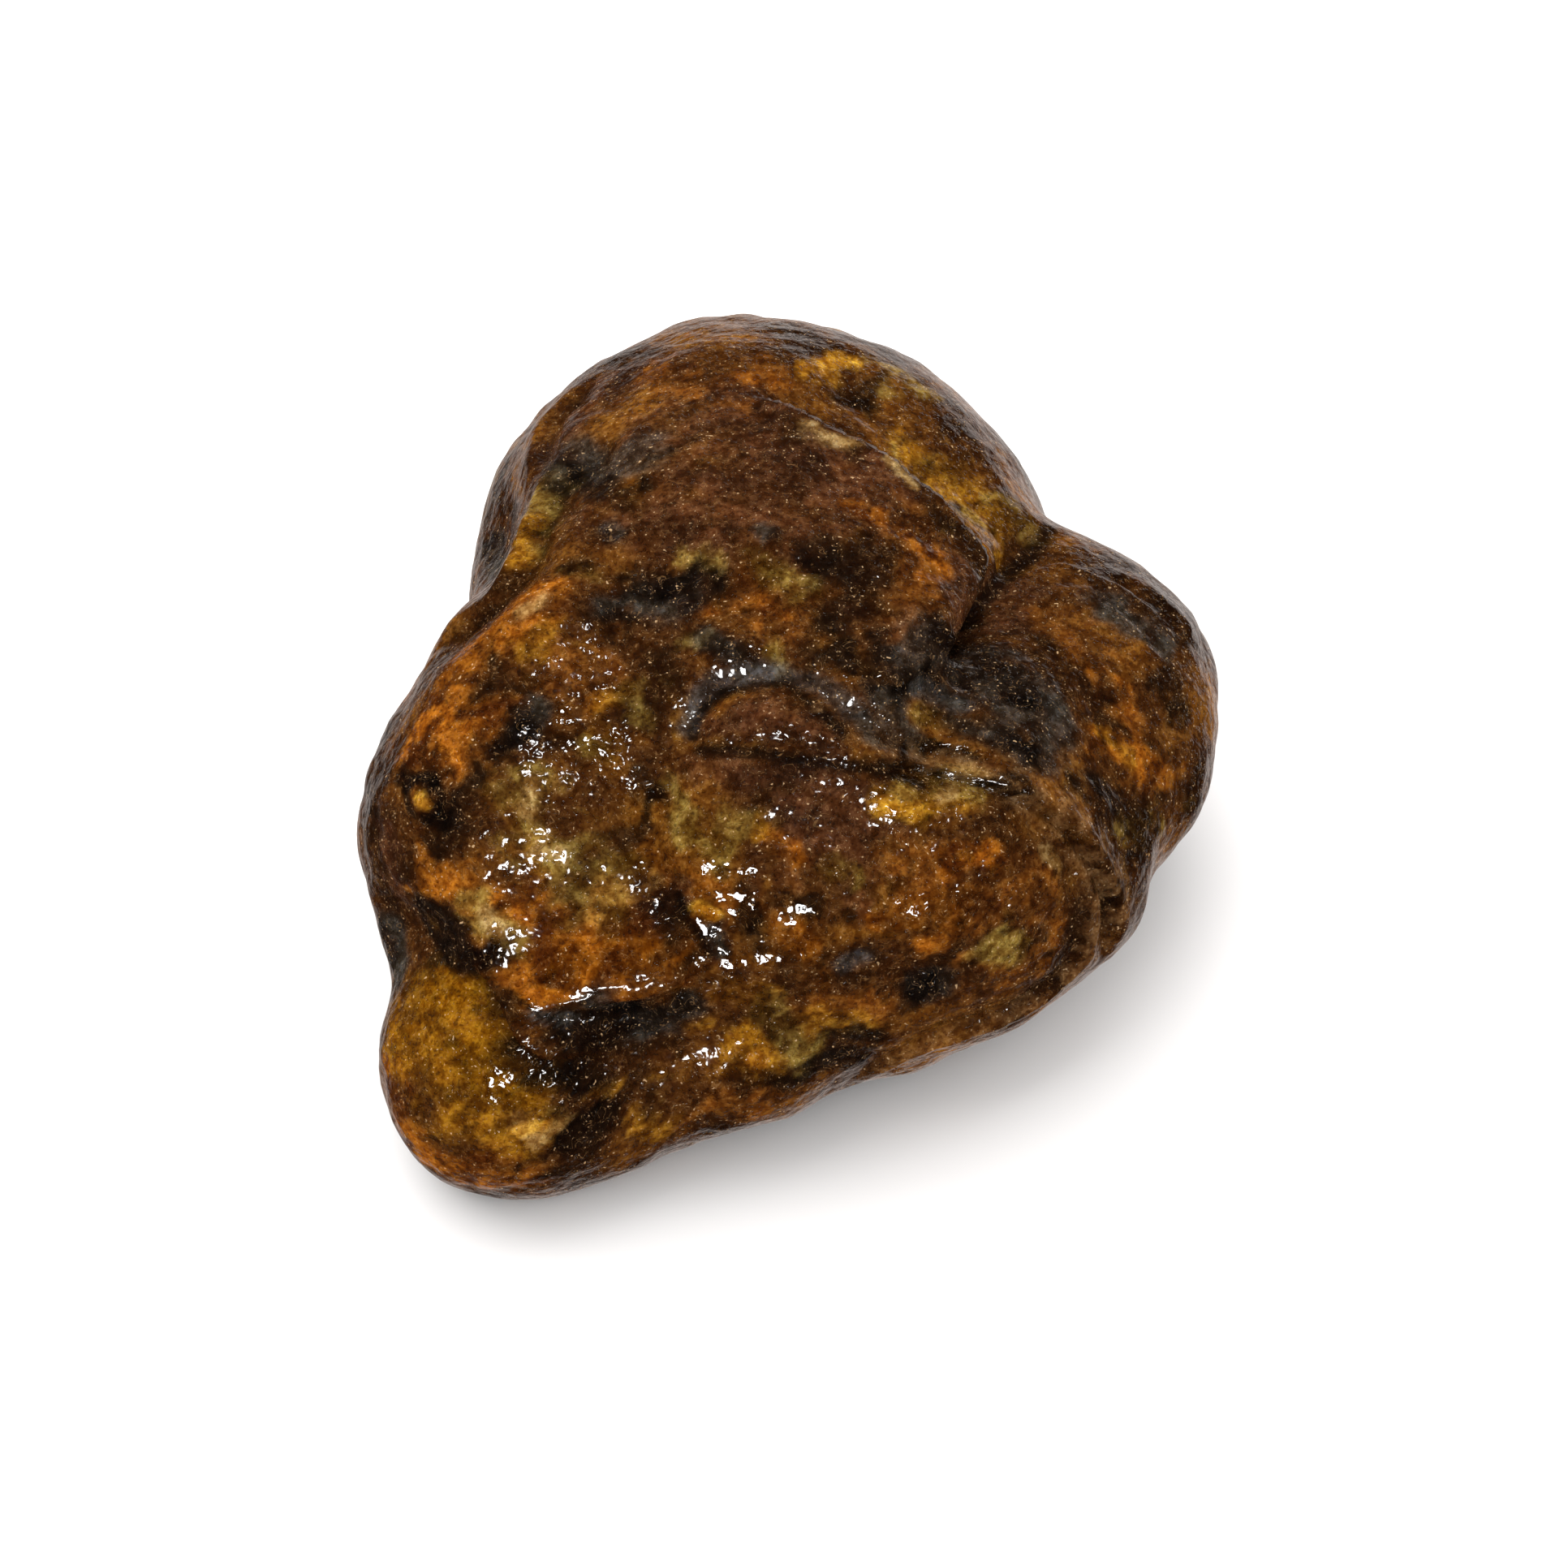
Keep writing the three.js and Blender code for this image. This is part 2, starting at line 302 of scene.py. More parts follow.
def pit_distance(places, seed):
    """Distance to the nearest of the random points, one of which lies in each unit cell."""
    cell = np.floor(places).astype(np.int64)
    nearest = np.full(len(places), 9.0)
    for corner in np.ndindex(3, 3, 3):
        there = cell + np.array(corner) - 1
        point = there + np.stack([corner_chance(there, seed + k) for k in range(3)], 1)
        nearest = np.minimum(nearest, np.linalg.norm(point - places, axis=1))
    return nearest


def wander(places, size, far, seed):
    """The places pushed about by up to far, in swells of the given size, so edges turn ragged."""
    push = np.stack([clouds(places / size, seed + k) for k in range(3)], 1)
    return places + far * push


SWELLS = [(0.5, 8, 1), (0.30, 4, 2), (0.12, 1.9, 3)]  # height and size in mm, and seed
PIT_SPACING_MM = 1.7
PIT_DEPTH_MM = 0.11

swells = sum(height * clouds(skin / size, seed) for height, size, seed in SWELLS)
pits = eased(0.62, 0.1, pit_distance(wander(skin, 2, 0.5, 4) / PIT_SPACING_MM, 7))
relief = swells - PIT_DEPTH_MM * pits

body = skin + outward * (fold_height + relief)[:, None]
body[:, 2] = np.maximum(body[:, 2], 0)

# ---------------------------------------------------------------------------------------------
# The rind's colours. Weathering went to different depths, so the skin is a patchwork: umber rind,
# brick, rust and burnt orange, olive, ochre and gold where the rind is thinnest, black where dirt
# was caught, and slate, a dark crust with a painted grey sheen, with leaden seams and dark cracks.
# The pale strokes are worn edges and painted highlights, the glow strokes a painted glow of light
# through the amber; the grooves get painted shade, the wrinkled rims painted sheen lines.
# ---------------------------------------------------------------------------------------------

STROKES = {  # each a radius in mm, and a route over the skin in bearings and lifts
    "brick": [
        (2.7, [(129, 26), (121, 24), (113, 27)]), (1.7, [(-94, 32), (-80, 29)]),
        (3.5, [(117, 41), (96, 55), (66, 57)]), (3.2, [(117, 60), (80, 71)]),
        (2.6, [(151, 50), (133, 65)]), (2.0, [(23, 51), (5, 50)]), (2.2, [(-24, 70), (-14, 57)]),
        (1.8, [(-120, 53), (-100, 58), (-80, 52)]), (1.5, [(-114, 43), (-95, 45), (-75, 43)]),
        (2.7, [(-88, 35), (-76, 32)]), (1.7, [(-17, 27), (-26, 27)]), (1.7, [(26, 29), (13, 31)]),
        (1.5, [(-156, 11), (-152, 8)]), (1.4, [(-63, 62), (-45, 55)]), (2.3, [(-95, 27), (-79, 24)]),
        (1.5, [(-119, 20), (-113, 18)]), (2.3, [(103, 38), (94, 45)]), (3.2, [(150, 4), (168, -6)]),
        (2.8, [(96, 8), (80, -4)]), (2.6, [(22, -8), (40, -18)]), (3.0, [(-166, -8), (-152, -20)])],
    "rust": [
        (1.7, [(113, 27), (109, 37), (104, 42)]), (1.4, [(97, 33), (93, 36)]),
        (2.3, [(-66, 24), (-54, 13)]), (1.6, [(-44, 14), (-43, 4)]), (1.5, [(15, 25), (3, 21)]),
        (1.4, [(0, 17), (-3, 13)]), (2.3, [(-12, 67), (19, 61), (44, 58)]),
        (1.7, [(-169, 80), (-112, 80)]), (1.2, [(-123, -9), (-120, -10)]),
        (1.5, [(-102, -13), (-93, -15)]), (1.7, [(-161, 25), (-152, 24)]),
        (1.4, [(-110, 26), (-104, 18)]), (1.4, [(-128, 4), (-124, 1)]), (1.7, [(-162, 42), (-153, 43)]),
        (1.7, [(-86, 3), (-78, 3)]), (1.5, [(-60, 3), (-51, -2)]), (1.3, [(-95, 20), (-89, 17)]),
        (2.2, [(124, -8), (140, -16)]), (1.8, [(62, 4), (50, -8)]), (1.7, [(178, 10), (172, 2)]),
        (2.0, [(104, -30), (86, -38)])],
    "ember": [
        (2.0, [(-137, -8), (-130, -12), (-123, -12)]), (0.7, [(-153, 20), (-154, 20)]),
        (1.7, [(177, 41), (-180, 34), (-170, 30)]), (2.0, [(-167, 27), (-161, 22)]),
        (1.7, [(-159, 31), (-155, 26)]), (1.5, [(-172, 37), (-175, 42)]),
        (2.9, [(-134, 13), (-126, 12), (-119, 16)]), (2.0, [(-131, 8), (-123, 8), (-116, 10)]),
        (0.9, [(70, 63), (55, 62)]), (1.0, [(42, 58), (26, 55)]), (0.8, [(-22, 68), (-10, 65)]),
        (1.4, [(-11, 18), (-11, 13), (-10, 5)]), (1.0, [(2, 22), (0, 16)]), (0.6, [(20, 65), (18, 62)]),
        (0.7, [(-151, 81), (-118, 83)]), (0.9, [(-106, 10), (-107, 8)]), (1.2, [(-89, 20), (-86, 13)]),
        (1.0, [(-70, 11), (-66, 12)]), (0.9, [(-57, 23), (-51, 19)]), (1.3, [(-147, 12), (-140, 15)]),
        (1.0, [(93, 36), (102, 36)]), (0.9, [(-94, 33), (-90, 30)]), (0.8, [(-74, 20), (-71, 18)]),
        (1.0, [(-178, 67), (-163, 70)]), (1.8, [(108, 6), (100, -6)]), (1.5, [(160, -22), (148, -30)]),
        (1.3, [(34, 8), (44, 0)]), (1.5, [(-174, -12), (178, -18)]), (1.2, [(72, -22), (60, -26)])],
    "gold": [
        (0.9, [(89, 32), (81, 28)]), (1.5, [(67, 33), (57, 30), (47, 27), (40, 23)]),
        (1.3, [(43, 33), (37, 26)]), (1.5, [(-67, 38), (-59, 36), (-49, 32)]),
        (0.8, [(-98, 38), (-97, 33)]), (1.4, [(-100, -4), (-93, -6)]), (1.0, [(-86, 0), (-79, -3)]),
        (1.2, [(-122, -7), (-124, -5)]), (1.7, [(-126, -1), (-122, -2)]),
        (0.7, [(-116, -5), (-115, -5)]), (1.2, [(-111, -12), (-110, -11)]),
        (0.7, [(-106, 0), (-105, 1)]), (0.9, [(-136, 22), (-138, 24)]), (0.7, [(-133, 51), (-130, 49)]),
        (0.9, [(-47, 32), (-55, 33)]), (0.8, [(-10, 18), (-11, 13)]), (1.0, [(-101, 5), (-94, 3)]),
        (0.9, [(-150, 43), (-140, 38)]), (0.8, [(146, 9), (149, 5)]), (1.2, [(-171, 43), (-169, 40)]),
        (1.2, [(130, 8), (124, 0)]), (1.0, [(86, 16), (78, 12)]), (1.1, [(-168, 2), (-176, -2)])],
    "olive": [
        (1.4, [(77, 26), (69, 24)]), (1.7, [(65, 34), (55, 32), (46, 30)]), (1.2, [(47, 23), (42, 20)]),
        (0.9, [(137, 32), (145, 32), (156, 35)]), (1.2, [(153, 32), (162, 34)]),
        (0.9, [(170, 45), (169, 48)]), (1.0, [(148, 65), (150, 70)]), (1.3, [(136, 81), (109, 86)]),
        (1.7, [(-144, 26), (-143, 29)]), (1.7, [(-141, 26), (-133, 22)]),
        (2.2, [(-130, 20), (-123, 19)]), (1.2, [(-137, 13), (-133, 11)]),
        (1.0, [(-123, -4), (-119, -6)]), (1.7, [(-118, 34), (-108, 32)]),
        (1.5, [(-105, 32), (-107, 28)]), (0.8, [(-84, 29), (-79, 27)]), (0.9, [(-40, 47), (-33, 42)]),
        (1.2, [(-22, 7), (-16, 1)]), (1.3, [(-59, 39), (-46, 33)]), (0.8, [(-151, 46), (-143, 46)]),
        (0.9, [(-145, 37), (-138, 35)]), (0.9, [(-105, 74), (-85, 72)]), (1.2, [(-52, 4), (-57, 5)]),
        (1.7, [(-93, 0), (-88, -5)]), (1.0, [(137, 3), (134, 4)]), (0.7, [(-152, 62), (-149, 66)]),
        (1.7, [(142, -4), (130, -10)]), (1.4, [(70, -8), (82, -14)]), (1.3, [(20, 0), (28, -12)]),
        (1.4, [(-160, -12), (-170, -24)]), (2.0, [(-120, -60), (-60, -64)])],
    "ochre": [
        (3.8, [(-138, 1), (-131, 1), (-125, -2)]), (1.7, [(-142, -4), (-137, -4)]),
        (1.6, [(-124, -5), (-121, -7)]), (1.4, [(62, 33), (51, 29), (41, 24)]),
        (1.0, [(-67, 36), (-56, 32)]), (1.2, [(-100, -4), (-94, -6)]), (0.6, [(-99, 36), (-97, 33)]),
        (0.9, [(153, 32), (164, 34)])],
    "char": [
        (2.1, [(52, 79), (26, 73), (-9, 78), (-49, 73)]), (1.5, [(170, 54), (167, 64)]),
        (1.0, [(-54, 68), (-37, 60)]), (2.1, [(-18, 56), (-6, 41), (-13, 34)]),
        (1.0, [(-45, 58), (-28, 50)]), (1.2, [(-24, 57), (3, 43)]),
        (1.4, [(139, 34), (142, 47), (133, 49)]), (0.8, [(169, 46), (163, 56)]),
        (0.8, [(-179, 51), (-175, 53)]), (0.9, [(155, 67), (172, 70)]), (1.3, [(-155, 34), (-151, 30)]),
        (1.2, [(-150, 27), (-149, 22)]), (0.7, [(-159, 19), (-156, 20), (-154, 22)]),
        (0.7, [(-155, 18), (-150, 20)]), (1.5, [(-144, 7), (-138, 10)]), (1.4, [(-141, 3), (-135, 9)]),
        (1.3, [(-124, 1), (-118, -3)]), (1.5, [(-122, 4), (-115, 0), (-108, 3)]),
        (0.9, [(-55, 46), (-39, 37)]), (1.6, [(-70, 2), (-65, 2)]), (1.0, [(-82, -4), (-77, -6)]),
        (1.2, [(-101, 22), (-98, 14)]), (0.8, [(-95, 22), (-87, 22)]),
        (1.4, [(-26, 20), (-21, 12), (-18, 5)]), (1.2, [(5, 11), (1, 8)]), (0.8, [(1, 21), (-1, 19)]),
        (1.0, [(-131, 36), (-127, 33)]), (0.9, [(-106, 15), (-107, 12)]),
        (0.9, [(-131, 26), (-127, 26)]), (0.9, [(62, 23), (57, 24)]), (1.3, [(81, 33), (76, 30)]),
        (1.2, [(-31, 29), (-27, 34)]), (0.8, [(-117, 19), (-112, 17)]), (1.2, [(-117, -8), (-115, -9)]),
        (1.0, [(-141, 66), (-127, 68)]), (0.8, [(-169, 8), (-160, 11)]), (1.4, [(-93, -9), (-79, -12)]),
        (1.0, [(132, 9), (138, 6)]), (0.8, [(-19, 1), (-25, 3)]), (1.0, [(-40, 29), (-39, 26)]),
        (1.6, [(116, -14), (126, -22)]), (1.3, [(90, 2), (98, 12)]), (1.4, [(170, -14), (164, -4)]),
        (1.2, [(48, -16), (36, -22)]), (1.8, [(60, -60), (120, -70)])],
    # Slate: a dark crust whose grey is partly a painted sheen.
    "slate": [
        (2.1, [(129, 45), (134, 37), (135, 32)]), (0.8, [(179, 50), (173, 56), (163, 65)]),
        (0.8, [(-65, 54), (-53, 48)]), (3.2, [(-23, 59), (-14, 41), (-20, 31)]),
        (2.0, [(-30, 41), (-28, 33)]), (1.5, [(-52, 53), (-50, 45)]), (1.3, [(-51, 59), (-47, 53)]),
        (1.5, [(176, 56), (-177, 64)]), (1.6, [(18, 19), (11, 13)]), (1.4, [(-12, 30), (-17, 25)]),
        (1.3, [(-120, 6), (-112, 0), (-107, 5)]), (0.8, [(-106, 15), (-104, 12)]),
        (1.4, [(-151, -1), (-146, -3)]), (1.0, [(-152, 65), (-137, 67)]), (0.8, [(114, 73), (112, 75)]),
        (1.4, [(-68, 2), (-65, 3)]), (0.8, [(-24, 52), (-38, 55)]), (1.2, [(59, 12), (54, 10)]),
        (0.7, [(155, 48), (156, 51)]), (0.9, [(-153, 33), (-157, 36)]), (1.6, [(152, 14), (144, 8)]),
        (1.4, [(76, 0), (66, -6)]), (1.8, [(-178, -34), (160, -44)])],
    # Pale: partly worn pale rind, partly painted highlights along lips, ridges and the toe.
    "pale": [
        (0.6, [(-40, 15), (-39, 13)]), (0.5, [(-136, 22), (-138, 25)]),
        (0.4, [(-123, -4), (-121, -6), (-120, -8)]), (0.4, [(-120, -7), (-118, -6)]),
        (0.6, [(86, 48), (77, 48)]), (0.4, [(64, 49), (53, 48)]), (0.6, [(-137, 13), (-135, 12)]),
        (0.7, [(-180, 40), (179, 42)]), (0.5, [(-144, 29), (-143, 28)]), (0.5, [(147, 65), (150, 64)]),
        (0.5, [(-55, 34), (-50, 34)]), (0.5, [(-126, 18), (-123, 18)]), (0.5, [(-135, 23), (-133, 22)]),
        (0.5, [(-143, 26), (-141, 26)])],
    "lead": [
        (0.8, [(-129, 49), (-132, 57), (-125, 63), (-101, 69), (-76, 64), (-65, 56)]),
        (0.7, [(-125, 5), (-122, 4)]), (0.9, [(-35, 53), (-26, 44)]), (0.7, [(-79, 11), (-82, 10)])],
    "crack": [
        (0.5, [(-126, 48), (-128, 55), (-121, 61), (-100, 66)]),
        (0.5, [(-121, 46), (-111, 48), (-98, 49), (-86, 48), (-72, 46)]),
        (0.4, [(-72, 46), (-63, 42), (-57, 38)]), (0.5, [(-96, 66), (-82, 60), (-74, 53)]),
        (0.3, [(-65, 45), (-44, 33), (-38, 26)]), (0.4, [(-129, 6), (-124, 5), (-120, 1)]),
        (0.3, [(-113, 20), (-109, 16), (-105, 12)]), (0.7, [(41, 15), (36, 20), (29, 29), (18, 36)]),
        (0.4, [(-157, 18), (-157, 20), (-154, 22), (-151, 21), (-151, 18)]),
        (0.3, [(-128, 34), (-126, 29)])],
    # Glow: a painted glow, where light passing through the amber shines out beside the highlights.
    "glow": [
        (0.8, [(-68, 37), (-62, 34)]), (0.5, [(86, 30), (81, 28)]), (0.5, [(-122, -6), (-120, -6)]),
        (0.5, [(-97, -6), (-95, -6)]), (0.4, [(-154, 20), (-153, 20)]), (0.5, [(-109, 19), (-106, 18)])],
}

TONES = {  # a colour's deep and light tones, how raggedly it is broken up, and its strength
    "brick": ("29140a", "54301a", 0.8, 0.75),
    "rust": ("3a1b04", "764210", 0.9, 0.85),
    "ember": ("451e03", "96540f", 0.9, 0.92),
    "gold": ("4a2802", "925f14", 0.9, 0.88),
    "olive": ("3d2605", "7e6228", 0.8, 0.88),
    "ochre": ("553204", "88560a", 0.6, 0.90),
    # slate: dark crust, its grey partly a painted sheen
    "slate": ("0f0d0b", "35312a", 0.5, 0.90),
    "char": ("060302", "150c06", 0.7, 0.95),
    # pale: worn edges and painted highlights
    "pale": ("7a5424", "a4814c", 0.5, 0.75),
    # glow: painted glow of light through the amber
    "glow": ("94580a", "c08a26", 0.3, 0.75),
    "lead": ("23211f", "46423d", 0.2, 0.80),
    "crack": ("050302", "0e0704", 0.1, 0.85),
}

# The umbers, from the deepest weathering to the thinnest.
BROWNS = [(0.0, "130903"), (0.3, "281405"), (0.5, "3f2108"), (0.68, "5a340d"), (1.0, "7a4a14")]
PATCH_EDGE = (0.27, 0.74)  # nearness to a stroke at which its patch begins, and at which it is full
SPOT_SPACING_MM = 1.9
SPOT_DARKNESS = 0.55
GROOVE_SHADE_DARKNESS = 0.60
RIM_SHEEN_TINT = "8c6238"
RIM_SHEEN_STRENGTH = 0.35


def linear(hex_colour):
    """A colour written as rrggbb on a screen's scale, made linear for the shader."""
    parts = np.array([int(hex_colour[k:k + 2], 16) for k in (0, 2, 4)]) / 255
    return np.where(parts <= 0.04045, parts / 12.92, ((parts + 0.055) / 1.055) ** 2.4)


def billows(places, size, octaves, seed):
    """Clouds of the given size with half-sized, half-strength clouds on top, a few times over, from
    about 0 to 1."""
    total, most = 0, 0
    for k in range(octaves):
        total = total + clouds(places * 2 ** k / size, seed + k) / 2 ** k
        most += 1 / 2 ** k
    return 0.5 + 0.8 * total / most


def nearness(places, strokes):
    """How near each place is to the nearest stroke, from 1 on its line to 0 at twice its radius."""
    near = np.zeros(len(places))
    for radius, route in strokes:
        line = smooth_route(places_on_skin(route))
        for start, end in zip(line[:-1], line[1:]):
            step = end - start
            t = np.clip((places - start) @ step / max(step @ step, 1e-9), 0, 1)
            away = np.linalg.norm(places - start - t[:, None] * step, axis=1)
            near = np.maximum(near, 1 - away / (2 * radius))
    return near


ragged = wander(wander(skin, 3.2, 1.1, 101), 1.1, 0.45, 105)
wide_clouds = billows(ragged, 6.0, 4, 111)
mid_clouds = billows(ragged, 2.4, 3, 121)
tone_clouds = billows(wander(skin, 1.6, 0.8, 131), 1.5, 2, 135)

depth = np.clip(0.62 * wide_clouds + 0.38 * mid_clouds, 0, 1)
stops = np.array([stop for stop, _ in BROWNS])
browns = np.array([linear(colour) for _, colour in BROWNS])
rind = np.stack([np.interp(depth, stops, browns[:, k]) for k in range(3)], 1)

for k, (name, (deep, light, raggedness, strength)) in enumerate(TONES.items()):
    push = billows(wander(skin, 2.2, 0.9, 141 + 10 * k), 2.0, 3, 145 + 10 * k) - 0.5
    torn = skin + min(1.0, 1.3 * raggedness) * (ragged - skin)
    cover = eased(*PATCH_EDGE, nearness(torn, STROKES[name]) + raggedness * push * 0.8)
    tone = eased(0.2, 0.8, tone_clouds)[:, None]
    cover = (strength * cover * (1 - 0.4 * raggedness * eased(0.65, 0.35, mid_clouds)))[:, None]
    rind = rind * (1 - cover) + cover * (linear(deep) * (1 - tone) + linear(light) * tone)

spot_distance = pit_distance(wander(skin, 1.3, 0.5, 161) / SPOT_SPACING_MM, 165)
spots = eased(0.34, 0.16, spot_distance) * eased(0.4, 0.7, mid_clouds)
rind *= (1 - SPOT_DARKNESS * spots)[:, None]
# Painted shade: the rind is darkened along the folds' grooves.
rind *= (1 - GROOVE_SHADE_DARKNESS * groove_shade)[:, None]
# Painted sheen: the rims' pale lines are mixed into the rind's colour.
rim_sheen_cover = RIM_SHEEN_STRENGTH * rim_sheen_lines * eased(0.35, 0.7, tone_clouds)
rind += rim_sheen_cover[:, None] * (linear(RIM_SHEEN_TINT) - rind)

# ---------------------------------------------------------------------------------------------
# The rind's gloss. Most of it is a satin, finely dimpled skin. Where the sea polished it, the
# dimples are shallower and it is as bright as glass. Its strokes are written as the colours' are.
# ---------------------------------------------------------------------------------------------

POLISHED = [
    (1.2, [(-162, 37), (-154, 36), (-147, 35)]), (1.3, [(-147, 35), (-136, 33), (-127, 29)]),
    (1.4, [(-125, 29), (-119, 24)]), (1.3, [(-151, 42), (-143, 41)]),
    (1.0, [(-143, 64), (-108, 71), (-77, 65), (-59, 61)]), (0.8, [(-55, 46), (-39, 36)]),
    (3.2, [(-105, 25), (-95, 21), (-85, 15)]), (2.3, [(-110, 20), (-104, 12)]),
    (1.5, [(-75, 20), (-60, 17)]), (1.5, [(-123, 9), (-115, 11)]), (1.2, [(-110, 11), (-101, 9)]),
    (1.6, [(-137, 2), (-135, 4)]), (1.7, [(-126, 0), (-123, -1)]), (1.0, [(-128, 2), (-126, 3)]),
    (0.7, [(-128, 6), (-121, 3)]), (0.8, [(-67, 37), (-60, 33)]), (1.2, [(4, 28), (2, 24)]),
    (1.2, [(-55, 64), (-52, 59)]), (0.9, [(153, 76), (55, 87)]), (1.2, [(-103, 25), (-109, 23)])]
polish = eased(0.30, 0.66, nearness(ragged, POLISHED) + 0.35 * (mid_clouds - 0.5))

# ---------------------------------------------------------------------------------------------
# The nodule as a piece: the net's squares carried out to the finished body, with the rind's colour
# and polish kept at its points.
# ---------------------------------------------------------------------------------------------


def solid_piece(name, points_mm, faces):
    mesh = bpy.data.meshes.new(name)
    mesh.from_pydata((points_mm * MM).tolist(), [], faces.tolist())
    mesh.polygons.foreach_set("use_smooth", np.ones(len(faces), bool))
    mesh.update()
    piece = bpy.data.objects.new(name, mesh)
    bpy.context.scene.collection.objects.link(piece)
    return piece


nodule = solid_piece("raw_amber", body, squares)
colours = nodule.data.attributes.new("rind_colour", "FLOAT_COLOR", "POINT")
rgba = np.column_stack([np.clip(rind, 0, 1), np.ones(len(rind))])
colours.data.foreach_set("color", rgba.ravel().astype(np.float32))
gloss_mark = nodule.data.attributes.new("polish", "FLOAT", "POINT")
gloss_mark.data.foreach_set("value", polish.astype(np.float32))

# ---------------------------------------------------------------------------------------------
# The rind's finish. It is wet-glossy fossil resin, index 1.54, and too deeply weathered to see
# through: the colours lie in the rind, crossed by fine threads, dotted with dark specks and with
# tiny pale flecks that are painted glints.
# ---------------------------------------------------------------------------------------------


class Sheet:
    """A node tree with short ways to add a node, and to join or set its inputs."""

    def __init__(self, tree):
        self.tree = tree

    def add(self, kind, inputs=None, **settings):
        node = self.tree.nodes.new(kind)
        for key, value in settings.items():
            setattr(node, key, value)
        for key, value in (inputs or {}).items():
            if isinstance(value, bpy.types.NodeSocket):
                self.tree.links.new(value, node.inputs[key])
            else:
                node.inputs[key].default_value = value
        return node

    def maths(self, operation, a, b=0.0, c=0.0):
        return self.add("ShaderNodeMath", {0: a, 1: b, 2: c}, operation=operation).outputs[0]

    def blend(self, amount, a, b, how="MIX"):
        node = self.add("ShaderNodeMix", {0: amount, 6: a, 7: b}, data_type="RGBA", blend_type=how)
        return node.outputs[2]

    def spread(self, value, low, high, to_low=0.0, to_high=1.0):
        inputs = {"Value": value, "From Min": low, "From Max": high, "To Min": to_low, "To Max": to_high}
        return self.add("ShaderNodeMapRange", inputs, interpolation_type="SMOOTHSTEP").outputs[0]

    def grain(self, where, size_mm, detail=0.0, roughness=0.5, distortion=0.0):
        inputs = {"Vector": where, "Scale": 1 / (size_mm * MM), "Detail": detail,
                  "Roughness": roughness, "Distortion": distortion}
        return self.add("ShaderNodeTexNoise", inputs).outputs[0]


def rind_finish():
    material = bpy.data.materials.new("amber_rind")
    material.use_nodes = True
    sheet = Sheet(material.node_tree)
    shader = material.node_tree.nodes["Principled BSDF"]
    where = sheet.add("ShaderNodeTexCoord").outputs["Object"]
    colour = sheet.add("ShaderNodeAttribute", attribute_name="rind_colour").outputs["Color"]
    polished = sheet.add("ShaderNodeAttribute", attribute_name="polish").outputs["Fac"]

    mottle = sheet.grain(where, 0.7, 3, 0.6, 0.25)
    light = sheet.spread(mottle, 0.34, 0.68, 0.55, 1.6)
    fine_mottle = sheet.grain(where, 0.3, 2, 0.6)
    light = sheet.maths("MULTIPLY", light, sheet.spread(fine_mottle, 0.36, 0.66, 0.78, 1.28))
    lit = sheet.add("ShaderNodeCombineColor", {
        k: sheet.maths("POWER", light, power) for k, power in enumerate((0.75, 1.0, 1.35))}).outputs[0]
    colour = sheet.blend(1.0, colour, lit, "MULTIPLY")
    curl = sheet.grain(where, 1.1, 1, 0.5, 2.2)
    thread = sheet.spread(sheet.maths("ABSOLUTE", sheet.maths("SUBTRACT", curl, 0.5)), 0.0, 0.022, 1.0, 0.0)
    thread = sheet.maths("MULTIPLY", thread, sheet.spread(mottle, 0.45, 0.6))
    colour = sheet.blend(sheet.maths("MULTIPLY", thread, 0.30), colour, (0.36, 0.19, 0.07, 1))
    fine = sheet.grain(where, 0.4, 1, 0.5)
    specks = sheet.spread(fine, 0.60, 0.72)
    colour = sheet.blend(sheet.maths("MULTIPLY", specks, 0.5), colour, (0.006, 0.003, 0.002, 1))
    glints = sheet.spread(fine, 0.42, 0.34)
    # Painted glints: sparse tiny warm-white dots in the colour stand for sparkles off fine dimples.
    sparkle_flecks = sheet.spread(sheet.grain(where, 0.2), 0.73, 0.79)
    sparkle_flecks = sheet.maths("MULTIPLY", sparkle_flecks, sheet.spread(mottle, 0.45, 0.6))
    colour = sheet.blend(sheet.maths("MULTIPLY", sparkle_flecks, 0.6), colour, (0.64, 0.42, 0.22, 1))

    dimples = sheet.grain(where, 0.8, 1, 0.45)
    reach = sheet.spread(polished, 0.0, 1.0, 0.72, 0.48)
    height = sheet.maths("MULTIPLY_ADD", dimples, reach, sheet.maths("MULTIPLY", glints, 0.5))
    bump = sheet.add("ShaderNodeBump", {"Height": height, "Distance": 0.22 * MM, "Strength": 1.0})
    satin = sheet.spread(polished, 0.0, 1.0, 0.10, 0.04)
    rough = sheet.maths("MULTIPLY", satin, sheet.spread(glints, 0.0, 1.0, 1.0, 0.5))

    material.node_tree.links.new(colour, shader.inputs["Base Color"])
    material.node_tree.links.new(rough, shader.inputs["Roughness"])
    material.node_tree.links.new(bump.outputs[0], shader.inputs["Normal"])
    shader.inputs["IOR"].default_value = 1.54
    shader.inputs["Subsurface Weight"].default_value = 0.10
    shader.inputs["Subsurface Radius"].default_value = (1.0, 0.45, 0.15)
    shader.inputs["Subsurface Scale"].default_value = 0.8 * MM
    return material


nodule.data.materials.append(rind_finish())
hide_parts("amber_nodule")
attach(nodule, "root")

# ---------------------------------------------------------------------------------------------
# The table top: a wide sheet of plain white card, under the nodule's flat face.
# ---------------------------------------------------------------------------------------------

TABLE_HALF = 1.5  # metres

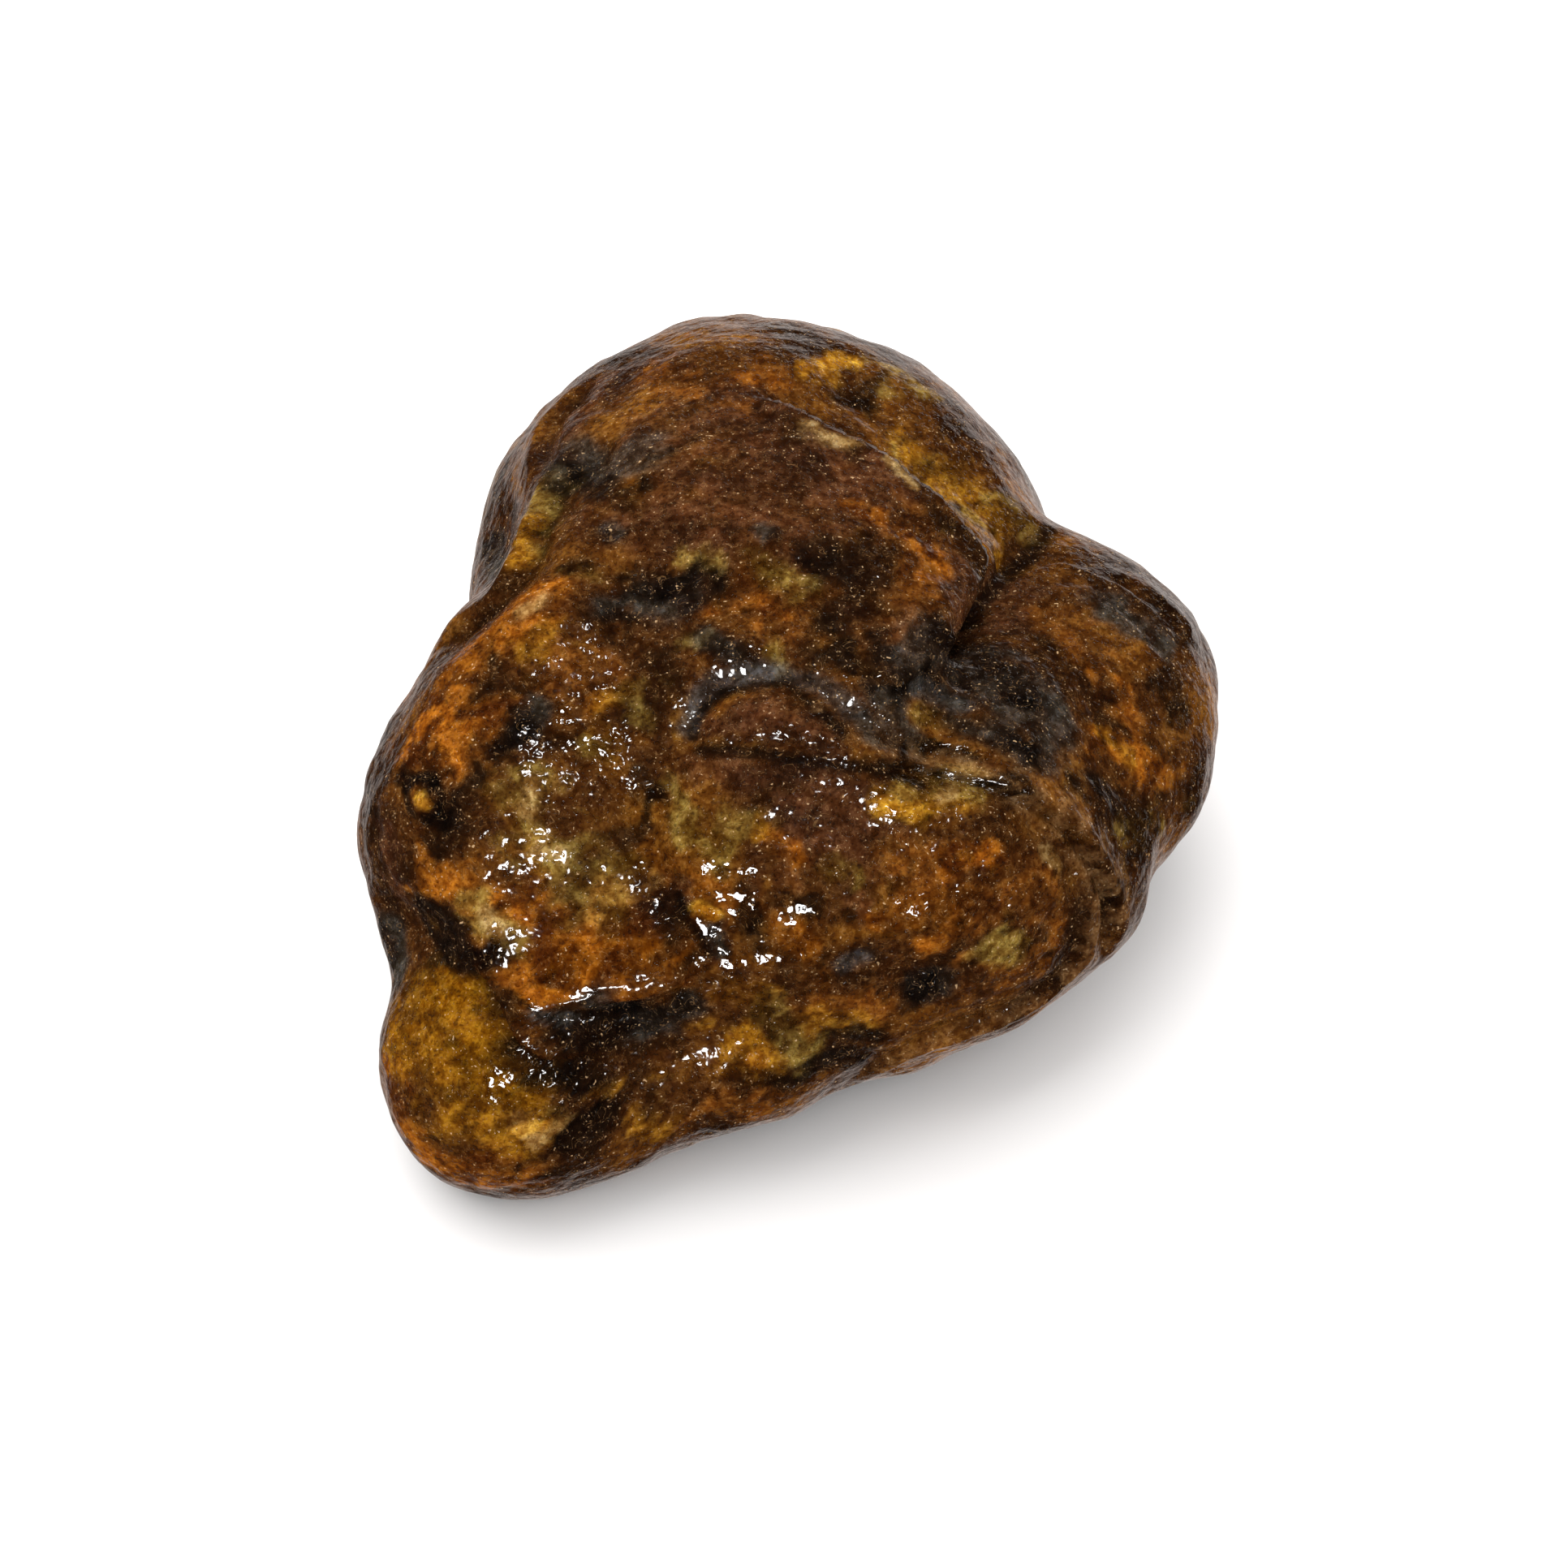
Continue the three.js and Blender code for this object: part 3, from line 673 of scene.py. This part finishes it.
corners = np.array([(-1, -1, 0), (1, -1, 0), (1, 1, 0), (-1, 1, 0)]) * TABLE_HALF / MM
table = solid_piece("table", corners, np.array([[0, 1, 2, 3]]))
card = bpy.data.materials.new("white_card")
card.use_nodes = True
card.node_tree.nodes["Principled BSDF"].inputs["Base Color"].default_value = (0.95, 0.93, 0.92, 1)
card.node_tree.nodes["Principled BSDF"].inputs["Roughness"].default_value = 1.0
card.node_tree.nodes["Principled BSDF"].inputs["Specular IOR Level"].default_value = 0.0
table.data.materials.append(card)

# ---------------------------------------------------------------------------------------------
# Light and camera. A broad ceiling panel behind the nodule's left lights it and the table softly.
# Small bright boxes are there for the gloss alone. It sees the rest of the room as dark, but for a
# paleness low beyond the nodule, in place of the card, and a brighter one low at the far right.
# ---------------------------------------------------------------------------------------------

low, high = (np.array(corner) for corner in cad_box)
middle = Vector((low + high) / 2)


def soft_box(name, toward, distance, size, radiance, for_gloss):
    """A white panel facing the nodule. Its power is its radiance times its area times pi squared
    over four, which is how the renderer spreads an area lamp's watts. It either lights the gloss
    or the colours, not both."""
    lamp = bpy.data.lights.new(name, "AREA")
    lamp.shape = "RECTANGLE"
    lamp.size, lamp.size_y = size
    lamp.energy = radiance * size[0] * size[1] * np.pi ** 2 / 4
    holder = bpy.data.objects.new(name, lamp)
    holder.location = middle + Vector(toward).normalized() * distance
    holder.rotation_euler = (holder.location - middle).to_track_quat("Z", "Y").to_euler()
    holder.visible_glossy = for_gloss
    holder.visible_diffuse = not for_gloss
    bpy.context.scene.collection.objects.link(holder)


# Name, direction from the nodule, distance and size in metres, radiance, and whether for the gloss.
soft_box("top_box", (0.19, -0.15, 0.97), 0.60, (0.07, 0.05), 40, True)
soft_box("front_box", (-0.15, -0.86, 0.48), 0.60, (0.15, 0.10), 42, True)
soft_box("side_box", (0.53, -0.78, 0.37), 0.60, (0.06, 0.035), 36, True)
soft_box("ceiling", (-0.40, 0.50, 1.0), 1.20, (1.8, 1.8), 2.3, False)
table.visible_glossy = False

TENT = (1.15, 1.15, 1.15, 1)
DARK_ROOM = (0.01, 0.01, 0.01, 1)
PALE_CARD = (0.52, 0.46, 0.43, 1)
BRIGHT_CARD = (0.80, 0.72, 0.68, 1)

world = bpy.data.worlds.new("tent")
world.use_nodes = True
bpy.context.scene.world = world
sky = Sheet(world.node_tree)
direction = sky.add("ShaderNodeTexCoord").outputs["Generated"]
beyond = sky.add("ShaderNodeVectorMath", {0: direction, 1: (0.12, 0.635, -0.763)}, operation="DOT_PRODUCT")
for_gloss = sky.blend(sky.spread(beyond.outputs["Value"], 0.62, 1.0), DARK_ROOM, PALE_CARD)
aside = sky.add("ShaderNodeVectorMath", {0: direction, 1: (0.35, 0.86, -0.38)}, operation="DOT_PRODUCT")
for_gloss = sky.blend(sky.spread(aside.outputs["Value"], 0.84, 1.0), for_gloss, BRIGHT_CARD)
is_gloss = sky.add("ShaderNodeLightPath").outputs["Is Glossy Ray"]
backdrop = world.node_tree.nodes["Background"]
world.node_tree.links.new(sky.blend(is_gloss, TENT, for_gloss), backdrop.inputs["Color"])

LENS_MM = 100
CAMERA_LIFT = 50  # degrees above the horizontal
CAMERA_AWAY = 0.310  # metres from what it is aimed at
aim = Vector((-0.9, -6.9, 15.1)) * MM

camera = bpy.data.objects.new("camera", bpy.data.cameras.new("camera"))
camera.data.lens = LENS_MM
camera.data.clip_start = 0.01
lift = np.radians(CAMERA_LIFT)
camera.location = aim + Vector((0, -np.cos(lift), np.sin(lift))) * CAMERA_AWAY
camera.rotation_euler = (camera.location - aim).to_track_quat("Z", "Y").to_euler()
bpy.context.scene.collection.objects.link(camera)
bpy.context.scene.camera = camera
bpy.context.scene.view_settings.view_transform = "Standard"
